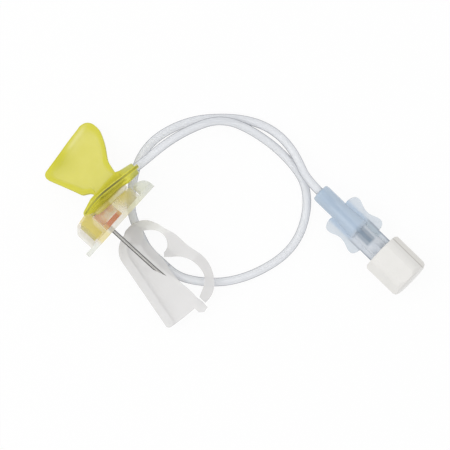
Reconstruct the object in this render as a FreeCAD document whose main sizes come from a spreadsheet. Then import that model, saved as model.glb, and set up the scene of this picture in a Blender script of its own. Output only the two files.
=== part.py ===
import FreeCAD, Part
import math
import os
import Sketcher
from FreeCAD import Placement, Rotation, Vector

# Winged huber needle set lying on a table. X runs along the needle to its tip, Y along the hub
# to the end where the line leaves, Z up. The hub lies on its side: its safety base stands on
# edge, one wing reaches down to the table and the other stands up.
doc = FreeCAD.newDocument("huber_needle_set")
sheet = doc.addObject("Spreadsheet::Sheet", "Dims")

sizes = {
    # place of the needle where it leaves the skin face, and of the clamp and the luer connector
    "exit_x": 3.6,
    "exit_y": -4.1,
    "needle_level": 12.3,
    "clamp_x": 5.2,
    "clamp_y": 2.8,
    "clamp_turn": 1.5,
    "clamp_floor": 0.0,
    "luer_x": 35.4,
    "luer_y": 47.0,
    "luer_level": 4.13,
    "luer_turn": -1.9,
    "luer_tilt": 4.0,
    # needle
    "needle_diameter": 1.1,
    "needle_bore": 0.8,
    "needle_length": 19.6,
    "needle_seat": 9.1,
    "needle_straight": 13.8,
    "needle_sideways": 0.17,
    "needle_glue": 0.02,
    "bevel_start": 15.5,
    # hub
    "hub_width": 4.4,
    "ridge_width": 2.9,
    "hub_back": 10.8,
    "hub_front": 6.9,
    "leg_width": 3.2,
    "leg_foot": 2.0,
    "socket_x": -7.3,
    "socket_y": 17.2,
    "socket_turn": 10.6,
    "socket_length": 4.4,
    "socket_depth": 3.5,
    "socket_radius": 1.85,
    "socket_root_radius": 2.2,
    "socket_lip": 0.45,
    "hub_corner": 0.6,
    "hub_edge": 0.4,
    "ridge_corner": 1.2,
    # wings
    "wing_length": 18.8,
    "wing_width": 20.4,
    "wing_root": 8.7,
    "wing_neck": 2.6,
    "wing_shoulder": 13.0,
    "wing_thickness": 1.1,
    "wing_back": 9.4,
    "wing_middle": 8.15,
    "wing_hem": 0.3,
    "wing_rest_slope": 29.1,
    "upper_wing_turn": 10.0,
    # safety base
    "plate_start": -10.0,
    "plate_end": 17.0,
    "plate_width": 18.0,
    "plate_end_flat": 1.2,
    "plate_thickness": 1.4,
    "lobe_start": 12.4,
    "lobe_height": 4.4,
    "lobe_width": 7.6,
    "lobe_edge": 0.9,
    "housing_start": -7.7,
    "housing_end": 12.2,
    "housing_width": 10.0,
    "housing_high": 9.0,
    "housing_low": 5.9,
    "housing_end_height": 5.1,
    "housing_wall": 0.8,
    "housing_corner": 1.1,
    "slot_start": -6.0,
    "slot_floor": 2.4,
    "slot_end_wall": 1.5,
    "slot_gap": 0.15,
    "needle_clearance": 0.25,
    # safety clip inside the base
    "clip_start": -1.1,
    "clip_end": 5.2,
    "clip_width": 4.0,
    "gate_height": 1.5,
    "capsule_height": 3.6,
    "capsule_wall": 0.6,
    # line
    "tube_diameter": 2.4,
    "tube_clearance": 0.05,
    # pinch clamp
    "clamp_length": 28.8,
    "clamp_height": 6.9,
    "web_bottom": 4.4,
    "web_thickness": 1.2,
    "slot_bottom": 1.5,
    "tube_slot_top": 4.4,
    "latch_slot_top": 5.9,
    "knuckle_radius": 2.75,
    "knuckle_gap": 0.06,
    # luer connector
    "luer_length": 30.0,
    "luer_body_radius": 2.7,
    "luer_body_end_radius": 3.25,
    "luer_body_length": 15.4,
    "luer_neck_radius": 2.6,
    "luer_rib_reach": 3.87,
    "luer_rib_end": 24.3,
    "luer_rib_thickness": 1.0,
    "luer_lug_length": 1.6,
    "luer_bore": 0.6,
    "luer_taper_depth": 8.0,
    "luer_taper_mouth": 2.15,
    "luer_taper_throat": 1.9,
    "luer_socket_depth": 5.0,
    "tab_start": 7.8,
    "tab_end": 19.0,
    "tab_reach": 6.2,
    "tab_thickness": 1.6,
    # luer cap
    "cap_start": 23.9,
    "cap_length": 11.8,
    "cap_radius": 6.2,
    "cap_flats": 11.6,
    "cap_rounding": 1.2,
    "cap_floor": 2.6,
    "cap_plug_length": 6.4,
    "cap_plug_clearance": 0.05,
}
for row, (name, value) in enumerate(sizes.items(), 1):
    sheet.set(f"A{row}", name)
    sheet.set(f"B{row}", str(value))
    sheet.setAlias(f"B{row}", name)
doc.recompute()


def size(name):
    return float(sheet.get(name))


def bind(feature, **expressions):
    for prop, expression in expressions.items():
        feature.setExpression(prop.replace("__", "."), expression)
    return feature


def place(feature, x="0", y="0", z="0", rotation=None):
    """Puts a feature at a place given as expressions, turned by a fixed rotation."""
    if rotation is not None:
        feature.Placement = Placement(Vector(), rotation)
    return bind(feature, Placement__Base__x=x, Placement__Base__y=y, Placement__Base__z=z)


def on_hub(feature, label):
    feature.Label = label
    return place(feature, "Dims.exit_x", "Dims.exit_y", "Dims.needle_level")


def new_body(name):
    return doc.addObject("PartDesign::Body", name)


def new_sketch(body, role):
    plane = [f for f in body.Origin.OriginFeatures if f.Role == role][0]
    sketch = body.newObject("Sketcher::SketchObject", body.Name + "_sketch")
    sketch.AttachmentSupport = [(plane, "")]
    sketch.MapMode = "FlatFace"
    return sketch


def outline(body, role, points):
    """A closed sketch of straight lines whose corners are held at numbers or expressions."""
    sketch = new_sketch(body, role)
    count = len(points)
    angles = [2 * math.pi * i / count for i in range(count)]
    ring = [Vector(10 * math.cos(a), 10 * math.sin(a)) for a in angles]
    for i in range(count):
        sketch.addGeometry(Part.LineSegment(ring[i], ring[(i + 1) % count]))
    for i in range(count):
        sketch.addConstraint(Sketcher.Constraint("Coincident", i, 2, (i + 1) % count, 1))
    for i, corner in enumerate(points):
        for kind, value in zip(("DistanceX", "DistanceY"), corner):
            start = 1.0 if isinstance(value, str) else float(value)
            index = sketch.addConstraint(Sketcher.Constraint(kind, -1, 1, i, 1, start))
            if isinstance(value, str):
                sketch.setExpression(f"Constraints[{index}]", value)
    return sketch


def drawn(body, role, runs):
    """A closed sketch of hand-drawn runs: two points make a line, more make one smooth curve."""
    sketch = new_sketch(body, role)
    for run in runs:
        points = [Vector(x, y, 0) for x, y in run]
        if len(points) == 2:
            sketch.addGeometry(Part.LineSegment(points[0], points[1]))
        else:
            curve = Part.BSplineCurve()
            curve.interpolate(points)
            sketch.addGeometry(curve)
    return sketch


def pad(body, sketch, length, symmetric=False, backwards=False):
    feature = body.newObject("PartDesign::Pad", body.Name + "_pad")
    feature.Profile = sketch
    feature.Midplane = symmetric
    feature.Reversed = backwards
    return bind(feature, Length=length)


def pocket(body, sketch, length, symmetric=False, backwards=False):
    feature = body.newObject("PartDesign::Pocket", body.Name + "_pocket")
    feature.Profile = sketch
    feature.Midplane = symmetric
    feature.Reversed = backwards
    return bind(feature, Length=length)


def wanted_edges(base, wanted):
    """The names of a feature's edges whose two ends a test accepts."""
    doc.recompute()
    names = []
    for number, edge in enumerate(base.Shape.Edges, 1):
        ends = [v.Point for v in edge.Vertexes]
        if len(ends) == 2 and wanted(ends[0], ends[1]):
            names.append(f"Edge{number}")
    return names


def round_edges(body, base, radius, wanted):
    names = wanted_edges(base, wanted)
    feature = body.newObject("PartDesign::Fillet", body.Name + "_fillet")
    feature.Base = (base, names)
    return bind(feature, Radius=radius)


def bevel_edges(body, base, width, wanted):
    names = wanted_edges(base, wanted)
    feature = body.newObject("PartDesign::Chamfer", body.Name + "_bevel")
    feature.Base = (base, names)
    return bind(feature, Size=width)


def upright(a, b):
    return abs(a.z - b.z) > 0.5


def level(a, b):
    return abs(a.z - b.z) < 0.01


def box(name, length, width, height, x, y, z):
    return place(bind(doc.addObject("Part::Box", name), Length=length, Width=width, Height=height), x, y, z)


def cylinder(name, radius, height, x="0", y="0", z="0", rotation=None):
    return place(bind(doc.addObject("Part::Cylinder", name), Radius=radius, Height=height), x, y, z, rotation)


def cut(name, base, tool):
    feature = doc.addObject("Part::Cut", name)
    feature.Base = base
    feature.Tool = tool
    return feature


def fuse(name, pieces):
    feature = doc.addObject("Part::MultiFuse", name)
    feature.Shapes = pieces
    feature.Refine = True
    return feature


def common(name, pieces):
    feature = doc.addObject("Part::MultiCommon", name)
    feature.Shapes = pieces
    return feature


def solid(label, shape):
    feature = doc.addObject("Part::Feature", label)
    feature.Shape = shape
    feature.Label = label
    return feature


def bend_path(points):
    """Straight runs joined by tangent arcs, each as large as its two runs allow."""
    arcs = []
    radii = []
    for before, corner, after in zip(points, points[1:], points[2:]):
        back = before - corner
        ahead = after - corner
        setback = 0.45 * min(back.Length, ahead.Length)
        half_turn = (math.pi - back.getAngle(ahead)) / 2
        radius = setback / math.tan(half_turn)
        radii.append(radius)
        back.normalize()
        ahead.normalize()
        inward = (back + ahead).normalize()
        middle = corner + inward * (radius / math.cos(half_turn) - radius)
        arcs.append((corner + back * setback, middle, corner + ahead * setback))
    edges = []
    here = points[0]
    for start, middle, end in arcs:
        edges.append(Part.LineSegment(here, start).toShape())
        edges.append(Part.Arc(start, middle, end).toShape())
        here = end
    edges.append(Part.LineSegment(here, points[-1]).toShape())
    return Part.Wire(edges), radii


def tube(label, route):
    """One stretch of the line as a plain solid along its route."""
    radius = size("tube_diameter") / 2
    points = [Vector(*p) for p in route]
    path, radii = bend_path(points)
    ring = Part.Wire(Part.makeCircle(radius, points[0], points[1] - points[0]))
    shape = path.makePipeShell([ring], True, False)
    expected = math.pi * radius**2 * path.Length
    least = min(radii) if radii else 999
    share = shape.Volume / expected
    print(f"{label}: {path.Length:.1f} mm, least radius {least:.1f}, volume share {share:.4f}")
    return solid(label, shape)


along_x = Rotation(Vector(0, 1, 0), 90)


# Needle: a cannula whose last stretch bends sideways, with the bevel on the other side.
def make_needle():
    seat = Vector(-size("needle_seat"), 0, 0)
    straight = Vector(size("needle_straight"), 0, 0)
    tip = Vector(size("needle_length"), size("needle_sideways"), 0)
    run = tip.x - straight.x
    bend_angle = 2 * math.atan2(tip.y, run)
    bend_radius = run / math.sin(bend_angle)
    halfway = straight + Vector(
        bend_radius * math.sin(bend_angle / 2), bend_radius * (1 - math.cos(bend_angle / 2)), 0
    )
    path = Part.Wire([Part.LineSegment(seat, straight).toShape(), Part.Arc(straight, halfway, tip).toShape()])
    radius = size("needle_diameter") / 2
    outer = path.makePipeShell([Part.Wire(Part.makeCircle(radius, seat, Vector(1, 0, 0)))], True, False)
    bore_ring = Part.Wire(Part.makeCircle(size("needle_bore") / 2, seat, Vector(1, 0, 0)))
    shape = outer.cut(path.makePipeShell([bore_ring], True, False))
    heel = Vector(size("bevel_start"), -radius, 0)
    point = tip + Vector(0, radius, 0)
    slope = math.degrees(math.atan2(point.y - heel.y, point.x - heel.x))
    reach = 4 * (point - heel).Length
    grind = Part.makeBox(reach, reach, reach, Vector(-reach / 4, -reach, -reach / 2))
    grind.Placement = Placement(heel, Rotation(Vector(0, 0, 1), slope))
    return on_hub(solid("needle", shape.cut(grind)), "needle")


# Hub: the bar that the wings hang on, its leg inside the safety base and the socket of the line.
def make_hub():
    spine = new_body("spine")
    back = "-Dims.hub_back"
    front = "-Dims.hub_front"
    bar = pad(spine, outline(spine, "XY_Plane", [
        (front, -3.4), ("-Dims.hub_back + 2.6", -3.4), ("-Dims.hub_back + 2.1", -1.4),
        ("-Dims.hub_back + 2.1", 4.2),
        ("-Dims.hub_back + 3.5", 12.6), ("-Dims.hub_back + 3.2", 14.3), ("-Dims.hub_front + 1.2", 14.0),
        ("-Dims.hub_front + 0.5", 11.0), (front, 1.8),
    ]), "Dims.hub_width", symmetric=True)
    bar_sides = round_edges(spine, bar, "Dims.hub_corner", upright)
    bevel_edges(spine, bar_sides, "Dims.hub_edge", level)
    ridge = new_body("ridge")
    back_bar = pad(ridge, outline(ridge, "XY_Plane", [
        (front, -2.4), ("-Dims.hub_back + 1.2", -2.4), (back, 2.2), (back, 12.4),
        ("-Dims.hub_back + 1.4", 15.0), (front, 14.0),
    ]), "Dims.ridge_width", symmetric=True)
    behind = -size("hub_front") - 1
    rounded = round_edges(ridge, back_bar, "Dims.ridge_corner", lambda a, b: upright(a, b) and a.x < behind)
    bevel_edges(ridge, rounded, "Dims.hub_edge", lambda a, b: level(a, b) and min(a.x, b.x) < behind)
    leg = new_body("leg")
    leg_outline = outline(leg, "XY_Plane", [
        ("-Dims.hub_back + 3.6", -5.7), ("-Dims.hub_back + 2.8", -4.6), ("-Dims.hub_back + 2.4", -1.2),
        (front, -1.2), ("-Dims.hub_front + 1.4", -2.4), ("-Dims.leg_foot", -2.4), ("-Dims.leg_foot", -5.7),
    ])
    pad(leg, leg_outline, "Dims.leg_width", symmetric=True)
    socket_axis = Rotation(Vector(0, 0, 1), -size("socket_turn")) * Rotation(Vector(1, 0, 0), 90)
    socket = new_body("socket")
    revolve(socket, [
        (0, 0), (0, "Dims.socket_radius - Dims.socket_lip"),
        ("0.3 * Dims.socket_lip", "Dims.socket_radius - 0.3 * Dims.socket_lip"),
        ("Dims.socket_lip", "Dims.socket_radius"), ("Dims.socket_length", "Dims.socket_root_radius"),
        ("Dims.socket_length", 0),
    ])
    place(socket, "Dims.socket_x", "Dims.socket_y", "0", socket_axis * Rotation(Vector(0, 1, 0), -90))
    bore = cylinder(
        "socket_bore", "Dims.tube_diameter / 2 + Dims.tube_clearance", "Dims.socket_depth",
        "Dims.socket_x", "Dims.socket_y", "0", socket_axis,
    )
    needle_seat = cylinder(
        "needle_seat", "Dims.needle_diameter / 2 + Dims.needle_glue", "Dims.needle_seat",
        "-Dims.needle_seat", "0", "0", along_x,
    )
    whole = fuse("hub_whole", [spine, ridge, leg, socket])
    return on_hub(cut("hub_bored", whole, fuse("hub_bores", [bore, needle_seat])), "wing_hub")


# Wings: soft plates, narrow at the hub and wide outside. U runs outward and V along the hub. The
# outline is drawn by hand as shares of the wing's length and half width, from a root of its own.
def make_wing(label):
    wing = new_body(label)
    reach = size("wing_length")
    half = size("wing_width") / 2
    root = size("wing_root") / 2
    neck = 0.6 * size("wing_neck")
    shoulder = size("wing_shoulder") / 2
    hem = -size("wing_hem")
    round_side = [
        (neck, root), (0.208 * reach, 0.745 * shoulder), (0.314 * reach, 0.85 * shoulder),
        (0.521 * reach, 0.79 * half), (0.713 * reach, 0.96 * half), (0.83 * reach, half),
        (0.936 * reach, 0.975 * half), (1.01 * reach, 0.88 * half), (1.045 * reach, 0.725 * half),
        (1.037 * reach, 0.56 * half),
    ]
    outer_edge = [(1.037 * reach, 0.56 * half), (0.955 * reach, -0.745 * half)]
    small_corner = [
        (0.955 * reach, -0.745 * half), (0.944 * reach, -0.873 * half), (0.91 * reach, -0.951 * half),
        (0.851 * reach, -0.975 * half), (0.766 * reach, -0.941 * half),
    ]
    slanted_side = [(0.766 * reach, -0.941 * half), (0.34 * reach, -1.115 * shoulder)]
    neck_corner = [
        (0.34 * reach, -1.115 * shoulder), (0.266 * reach, -1.054 * shoulder),
        (0.213 * reach, -0.985 * shoulder), (0.181 * reach, -0.862 * shoulder),
        (0.138 * reach, -0.723 * shoulder), (neck, -root),
    ]
    straight = [[(neck, -root), (hem, -root)], [(hem, -root), (hem, root)], [(hem, root), (neck, root)]]
    runs = [round_side, outer_edge, small_corner, slanted_side, neck_corner, *straight]
    pad(wing, drawn(wing, "XY_Plane", runs), "Dims.wing_thickness", symmetric=True)
    wing.Label = label
    return wing


def make_wings():
    lower = make_wing("wing_lower")
    slope = size("wing_rest_slope")
    lower_turn = Rotation(Vector(0, 1, 0), -slope) * Rotation(Vector(0, 1, 0), 180)
    place(
        lower, "Dims.exit_x - Dims.wing_back", "Dims.exit_y + Dims.wing_middle",
        "Dims.needle_level - Dims.hub_width / 2", lower_turn,
    )
    upper = make_wing("wing_upper")
    turn = size("upper_wing_turn")
    upper_turn = Rotation(Vector(0, 0, 1), -turn) * Rotation(Vector(0, 1, 0), -90)
    place(
        upper, "Dims.exit_x - Dims.wing_back + 0.4", "Dims.exit_y + Dims.wing_middle",
        "Dims.needle_level + Dims.hub_width / 2", upper_turn,
    )
    return [lower, upper]


# Safety base: a thin plate on the skin with a thick lobe, and a hollow housing on it.
def make_base_plate():
    plate = new_body("plate")
    flat = pad(plate, outline(plate, "YZ_Plane", [
        ("Dims.plate_start", "-Dims.plate_width / 2"), ("Dims.plate_end", "-Dims.plate_width / 2"),
        ("Dims.plate_end", "Dims.plate_width / 2"), ("Dims.plate_start", "Dims.plate_width / 2"),
    ]), "Dims.plate_thickness", backwards=True)
    corner = "(Dims.plate_width - Dims.plate_end_flat) / 2"
    round_edges(plate, flat, corner, lambda a, b: abs(a.x - b.x) > 1 and abs(a.y - b.y) < 0.01)
    lobe = new_body("lobe")
    root = -size("plate_thickness") / 2
    start = size("lobe_start")
    height = size("lobe_height")
    run = size("plate_end") - 0.1 - start
    thick = pad(lobe, drawn(lobe, "XY_Plane", [
        [(root, start), (-0.86 * height, start)],
        [
            (-0.86 * height, start), (-height, start + 0.2 * run), (-0.96 * height, start + 0.52 * run),
            (-0.74 * height, start + 0.84 * run), (-0.4 * height, start + run), (root, start + run),
        ],
        [(root, start + run), (root, start)],
    ]), "Dims.lobe_width", symmetric=True)
    bevel_edges(lobe, thick, "Dims.lobe_edge", lambda a, b: level(a, b) and min(a.x, b.x) < -0.8 * height)
    hole = cylinder(
        "plate_hole", "Dims.needle_diameter / 2 + Dims.needle_clearance", "3 * Dims.plate_thickness",
        "-2 * Dims.plate_thickness", "0", "0", along_x,
    )
    return on_hub(cut("plate_bored", fuse("plate_whole", [plate, lobe]), hole), "base_plate")


def make_housing():
    housing = new_body("housing")
    foot = "-Dims.plate_thickness"
    outer = pad(housing, outline(housing, "XY_Plane", [
        (foot, "Dims.housing_start"), ("-Dims.housing_high + 2.4", "Dims.housing_start"),
        ("-Dims.housing_high + 0.5", "Dims.housing_start + 1.9"),
        ("-Dims.housing_high", "Dims.housing_start + 5.2"),
        ("-Dims.housing_low", "Dims.housing_start + 10.6"),
        ("-Dims.housing_end_height", "Dims.housing_end"),
        (foot, "Dims.housing_end"),
    ]), "Dims.housing_width", symmetric=True)
    inner_side = -size("plate_thickness") - 1
    round_edges(housing, outer, "Dims.housing_corner", lambda a, b: upright(a, b) and a.x < inner_side)
    wall = "Dims.housing_wall"
    pocket(housing, outline(housing, "XY_Plane", [
        (foot, f"Dims.housing_start + {wall}"), ("-Dims.housing_high + 2.7", f"Dims.housing_start + {wall}"),
        (f"-Dims.housing_high + 0.5 + {wall}", "Dims.housing_start + 2.3"),
        (f"-Dims.housing_high + {wall}", "Dims.housing_start + 5.0"),
        (f"-Dims.housing_low + {wall}", "Dims.housing_start + 10.2"),
        (f"-Dims.housing_end_height + {wall}", f"Dims.housing_end - {wall}"),
        (foot, f"Dims.housing_end - {wall}"),
    ]), "Dims.housing_width - 2 * Dims.housing_wall", symmetric=True)
    pocket(housing, outline(housing, "XY_Plane", [
        ("-Dims.plate_thickness - Dims.slot_floor", "Dims.slot_start"),
        ("-Dims.housing_high - 1", "Dims.slot_start"),
        ("-Dims.housing_high - 1", "Dims.housing_end - Dims.slot_end_wall"),
        ("-Dims.plate_thickness - Dims.slot_floor", "Dims.housing_end - Dims.slot_end_wall"),
    ]), "Dims.hub_width + 2 * Dims.slot_gap", symmetric=True)
    return on_hub(housing, "safety_housing")


def make_clip():
    length = "Dims.clip_end - Dims.clip_start"
    hole = cylinder(
        "gate_hole", "Dims.needle_diameter / 2 + Dims.needle_clearance", "10", "-8.5", "0", "0", along_x
    )
    gate_block = box(
        "gate_block", "Dims.gate_height", length, "Dims.clip_width - 0.4",
        "-Dims.plate_thickness - 0.1 - Dims.gate_height", "Dims.clip_start", "-Dims.clip_width / 2 + 0.2",
    )
    gate = on_hub(cut("gate_bored", gate_block, hole), "safety_gate")
    top = "-Dims.plate_thickness - 0.2 - Dims.gate_height - Dims.capsule_height"
    block = box(
        "capsule_block", "Dims.capsule_height", length, "Dims.clip_width",
        top, "Dims.clip_start", "-Dims.clip_width / 2",
    )
    room = box(
        "capsule_room", "Dims.capsule_height - Dims.capsule_wall", f"{length} - 2 * Dims.capsule_wall",
        "Dims.clip_width - 2 * Dims.capsule_wall", f"{top} + Dims.capsule_wall",
        "Dims.clip_start + Dims.capsule_wall", "-Dims.clip_width / 2 + Dims.capsule_wall",
    )
    capsule_hole = cylinder(
        "capsule_hole", "Dims.needle_diameter / 2 + Dims.needle_clearance", "10", "-9", "0", "0", along_x
    )
    voids = fuse("capsule_voids", [room, capsule_hole])
    capsule = on_hub(cut("capsule_bored", block, voids), "safety_capsule")
    return [gate, capsule]


# Pinch clamp: U runs from the bend to the latch and V towards the arm. Its outlines are drawn for
# a clamp that reaches 28.8 mm to the end of its latch, and stretch with the clamp's own length.
drawn_clamp_length = 28.8


def clamp_points(points):
    stretch = size("clamp_length") / drawn_clamp_length
    return [(stretch * u, v) for u, v in points]


def clamp_runs(runs):
    return [clamp_points(run) for run in runs]


def clamp_place(feature, label):
    feature.Label = label
    turn = Rotation(Vector(0, 0, 1), size("clamp_turn"))
    x = "Dims.exit_x + Dims.clamp_x"
    y = "Dims.exit_y + Dims.clamp_y"
    return place(feature, x, y, "Dims.clamp_floor", turn)


def slab(name, runs, bottom, height):
    """A drawn outline as a plate between two levels of the clamp."""
    body = new_body(name)
    pad(body, drawn(body, "XY_Plane", clamp_runs(runs)), height)
    return place(body, z=bottom)


def slot_box(name, u, v, length, width, bottom, top):
    stretch = f"Dims.clamp_length / {drawn_clamp_length}"
    return box(
        name, f"{length} * {stretch}", str(width), f"{top} - {bottom}", f"{u} * {stretch}", str(v), bottom
    )


def make_clamp_body():
    left_edge = [(-2.2, -0.6), (-2.1, -3.0), (-1.1, -5.2), (0.5, -6.9), (2.6, -7.8)]
    long_edge = [(2.6, -7.8), (23.4, -13.3)]
    bottom_corner = [(23.4, -13.3), (24.2, -13.0), (24.6, -12.0)]
    end_edge = [(24.6, -12.0), (25.5, -8.0), (26.1, -4.2)]
    lug = [
        [(26.1, -4.2), (27.7, -4.3)], [(27.7, -4.3), (28.8, -3.2)],
        [(28.8, -3.2), (28.6, -1.6)], [(28.6, -1.6), (26.5, -1.3)],
    ]
    far_edge = [
        [(26.5, -1.3), (24.3, -1.5)],
        [
            (24.3, -1.5), (21.7, -1.2), (18.2, -1.2), (14.6, -0.7),
            (10.6, 0.4), (6.4, 0.8), (3.4, 1.2), (0.8, 1.8),
        ],
    ]
    head = [(0.8, 1.8), (-0.8, 1.7), (-1.8, 0.8), (-2.2, -0.6)]
    web_runs = [left_edge, long_edge, bottom_corner, end_edge, *lug, *far_edge, head]
    web = slab("clamp_web", web_runs, "Dims.web_bottom", "Dims.web_thickness")
    rim_inner = [
        [(24.6, -12.0), (23.9, -11.0)], [(23.9, -11.0), (3.2, -5.5)], [(3.2, -5.5), (1.2, -4.2), (0.2, -2.4)],
        [(0.2, -2.4), (0.0, -1.0)], [(0.0, -1.0), (-2.2, -0.6)],
    ]
    rim = slab("clamp_rim", [left_edge, long_edge, bottom_corner, *rim_inner], "0", "Dims.clamp_height")
    jaw_runs = [
        [(0.8, -4.8), (8.0, -7.2)], [(8.0, -7.2), (8.7, -5.8)], [(8.7, -5.8), (13.2, -1.95)],
        [(13.2, -1.95), (5.4, -1.75)], [(5.4, -1.75), (1.4, -1.3)], [(1.4, -1.3), (0.8, -4.8)],
    ]
    jaw = slab("clamp_jaw", jaw_runs, "0", "Dims.web_bottom + 0.1")
    knuckle_top = cylinder(
        "knuckle_top", "Dims.knuckle_radius", "Dims.clamp_height - Dims.web_bottom", z="Dims.web_bottom"
    )
    knuckle_low = cylinder("knuckle_low", "Dims.knuckle_radius", "Dims.slot_bottom")
    floor_tie = box("floor_tie", "2.8", "5.0", "Dims.slot_bottom", "-1.0", "-4.6", "0")
    whole = fuse("clamp_whole", [web, rim, jaw, knuckle_top, knuckle_low, floor_tie])
    return clamp_place(whole, "clamp_body")


def make_clamp_arm():
    inner_radius = size("knuckle_radius") + size("knuckle_gap")
    start_angle = math.radians(122)
    end_angle = math.radians(72)
    middle_angle = (start_angle + end_angle) / 2
    angles = (start_angle, middle_angle, end_angle)
    root = [(inner_radius * math.cos(angle), inner_radius * math.sin(angle)) for angle in angles]
    outer_side = clamp_points([
        (-1.1, 4.0), (0.2, 5.7), (2.2, 6.8), (5.0, 7.3), (8.5, 8.0), (13.0, 7.9),
        (17.1, 8.4), (20.3, 8.1), (22.9, 7.0), (25.2, 5.2), (26.8, 3.0), (27.4, 0.2), (27.3, -1.1),
    ])
    end_and_tooth = clamp_runs([
        [(27.3, -1.1), (25.0, -0.9)],
        [(25.0, -0.9), (24.2, 1.4), (22.6, 4.1), (20.0, 5.3), (16.9, 5.4), (14.2, 4.5), (11.9, 2.6)],
        [(11.9, 2.6), (10.2, 1.1)], [(10.2, 1.1), (9.3, 2.1)],
    ])
    inner_side = clamp_points([(9.3, 2.1), (9.1, 3.6), (7.7, 5.1), (5.8, 5.7), (3.6, 5.2), (1.9, 3.9)])
    arm = new_body("arm")
    arm_runs = [[root[0], *outer_side], *end_and_tooth, [*inner_side, root[2]]]
    sketch = drawn(arm, "XY_Plane", arm_runs)
    start, middle, finish = [Vector(x, y, 0) for x, y in reversed(root)]
    sketch.addGeometry(Part.Arc(start, middle, finish))
    pad(arm, sketch, "Dims.clamp_height")
    tube_slot = slot_box("arm_tube_slot", -4, 1.0, 7.5, 6.0, "Dims.slot_bottom", "Dims.tube_slot_top")
    latch_slot = slot_box("arm_latch_slot", 17.0, -3.0, 12.5, 12.0, "Dims.slot_bottom", "Dims.latch_slot_top")
    above_web = "Dims.web_bottom - 0.15"
    tooth_top = slot_box("arm_tooth_top", 8.0, -1.0, 5.5, 4.7, above_web, "Dims.clamp_height + 1")
    slots = fuse("arm_slots", [tube_slot, latch_slot, tooth_top])
    return clamp_place(cut("arm_cut", arm, slots), "clamp_arm")


# Luer connector and cap: U runs along the bore from the line's end to the cap.
def luer_place(feature, label):
    feature.Label = label
    turn = Rotation(Vector(0, 0, 1), size("luer_turn")) * Rotation(Vector(0, 1, 0), -size("luer_tilt"))
    return place(feature, "Dims.exit_x + Dims.luer_x", "Dims.exit_y + Dims.luer_y", "Dims.luer_level", turn)


def revolve(body, points):
    sketch = outline(body, "XY_Plane", points)
    feature = body.newObject("PartDesign::Revolution", body.Name + "_turned")
    feature.Profile = sketch
    feature.ReferenceAxis = (sketch, ["H_Axis"])
    feature.Angle = 360
    return feature


def make_connector():
    barrel = new_body("barrel")
    neck = "Dims.luer_neck_radius"
    revolve(barrel, [
        (0, "Dims.tube_diameter / 2 + Dims.tube_clearance"), (0, "Dims.luer_body_radius - 0.4"),
        (0.3, "Dims.luer_body_radius - 0.1"), (1.0, "Dims.luer_body_radius"),
        ("Dims.tab_start", "Dims.luer_body_radius"), ("Dims.tab_end - 4", "Dims.luer_body_end_radius"),
        ("Dims.luer_body_length", "Dims.luer_body_end_radius"), ("Dims.luer_body_length + 0.5", neck),
        ("Dims.luer_length - Dims.luer_lug_length", neck),
        ("Dims.luer_length - Dims.luer_lug_length", "Dims.luer_rib_reach"),
        ("Dims.luer_length - 0.3", "Dims.luer_rib_reach"), ("Dims.luer_length", "Dims.luer_rib_reach - 0.4"),
        ("Dims.luer_length", "Dims.luer_taper_mouth"),
        ("Dims.luer_length - Dims.luer_taper_depth", "Dims.luer_taper_throat"),
        ("Dims.luer_length - Dims.luer_taper_depth", "Dims.luer_bore"),
        ("Dims.luer_socket_depth", "Dims.luer_bore"),
        ("Dims.luer_socket_depth", "Dims.tube_diameter / 2 + Dims.tube_clearance"),
    ])
    tab = new_body("tab")
    side = size("luer_body_radius") - 0.6
    start = size("tab_start")
    end = size("tab_end")
    reach = size("tab_reach")
    lobe = 0.06 * (end - start)
    butterfly = [
        (start, side), (start - 0.2, reach - 1.1), (start + lobe, reach - 0.1), (start + 3 * lobe, reach),
        (start + 5.4 * lobe, reach - 0.6), ((start + end) / 2, reach - 1.0), (end - 5.4 * lobe, reach - 0.6),
        (end - 3 * lobe, reach), (end - lobe, reach - 0.1), (end + 0.1, reach - 1.1), (end, side),
    ]
    tab_outline = drawn(tab, "XY_Plane", [butterfly, [(end, side), (start, side)]])
    pad(tab, tab_outline, "Dims.tab_thickness", symmetric=True)
    other_tab = doc.addObject("Part::Mirroring", "other_tab")
    other_tab.Source = tab
    other_tab.Normal = Vector(0, 1, 0)
    rib_length = "Dims.luer_rib_end - Dims.luer_body_length + 0.6"
    rib_start = "Dims.luer_body_length - 0.6"
    rib_width = "2 * Dims.luer_rib_reach"
    side_ribs = box(
        "side_ribs", rib_length, rib_width, "Dims.luer_rib_thickness",
        rib_start, "-Dims.luer_rib_reach", "-Dims.luer_rib_thickness / 2",
    )
    high_ribs = box(
        "high_ribs", rib_length, "Dims.luer_rib_thickness", rib_width,
        rib_start, "-Dims.luer_rib_thickness / 2", "-Dims.luer_rib_reach",
    )
    core = cylinder("rib_core", "Dims.luer_neck_radius - 0.3", "Dims.luer_length", "0", "0", "0", along_x)
    ribs = cut("ribs", fuse("rib_cross", [side_ribs, high_ribs]), core)
    return luer_place(fuse("connector_whole", [barrel, tab, other_tab, ribs]), "luer_connector")


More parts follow.
